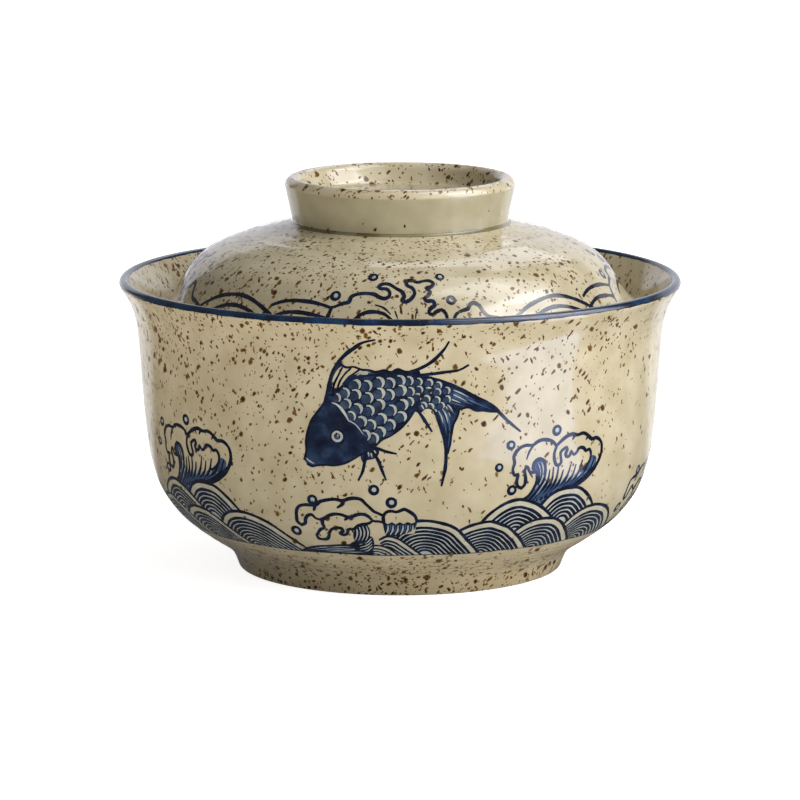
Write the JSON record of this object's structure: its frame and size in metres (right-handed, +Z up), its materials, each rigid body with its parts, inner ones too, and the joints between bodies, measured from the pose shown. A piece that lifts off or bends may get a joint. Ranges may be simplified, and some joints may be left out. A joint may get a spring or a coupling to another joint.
{
  "type": "lidded donburi bowl",
  "caption": "Deep stoneware donburi bowl with a flared rim and turned foot, closed by a loose domed lid with a ring grip that lifts straight off.",
  "frame": {"origin": "centre of the foot's standing face, on the table", "axes": "+Z up along the axis that bowl and lid are turned about; the solids look the same from every side, and the painted front faces -Y"},
  "size_m": [0.17, 0.17, 0.119],
  "materials": {
    "speckled_glaze": "glossy clear glaze over a beige stoneware body with brown iron specks",
    "cobalt_brushwork": "cobalt blue underglaze brush lines and washes under the same clear glaze",
    "bare_stoneware": "unglazed fired clay on the standing ring, dry and matt"
  },
  "bodies": {
    "bowl": {"bowl": "speckled_glaze"},
    "lid": {"lid": "speckled_glaze"}
  },
  "joints": [
    {"name": "lid_lift", "type": "slide", "parent": "bowl", "child": "lid", "axis": [0, 0, 1], "range_m": [0, 0.15]}
  ]
}
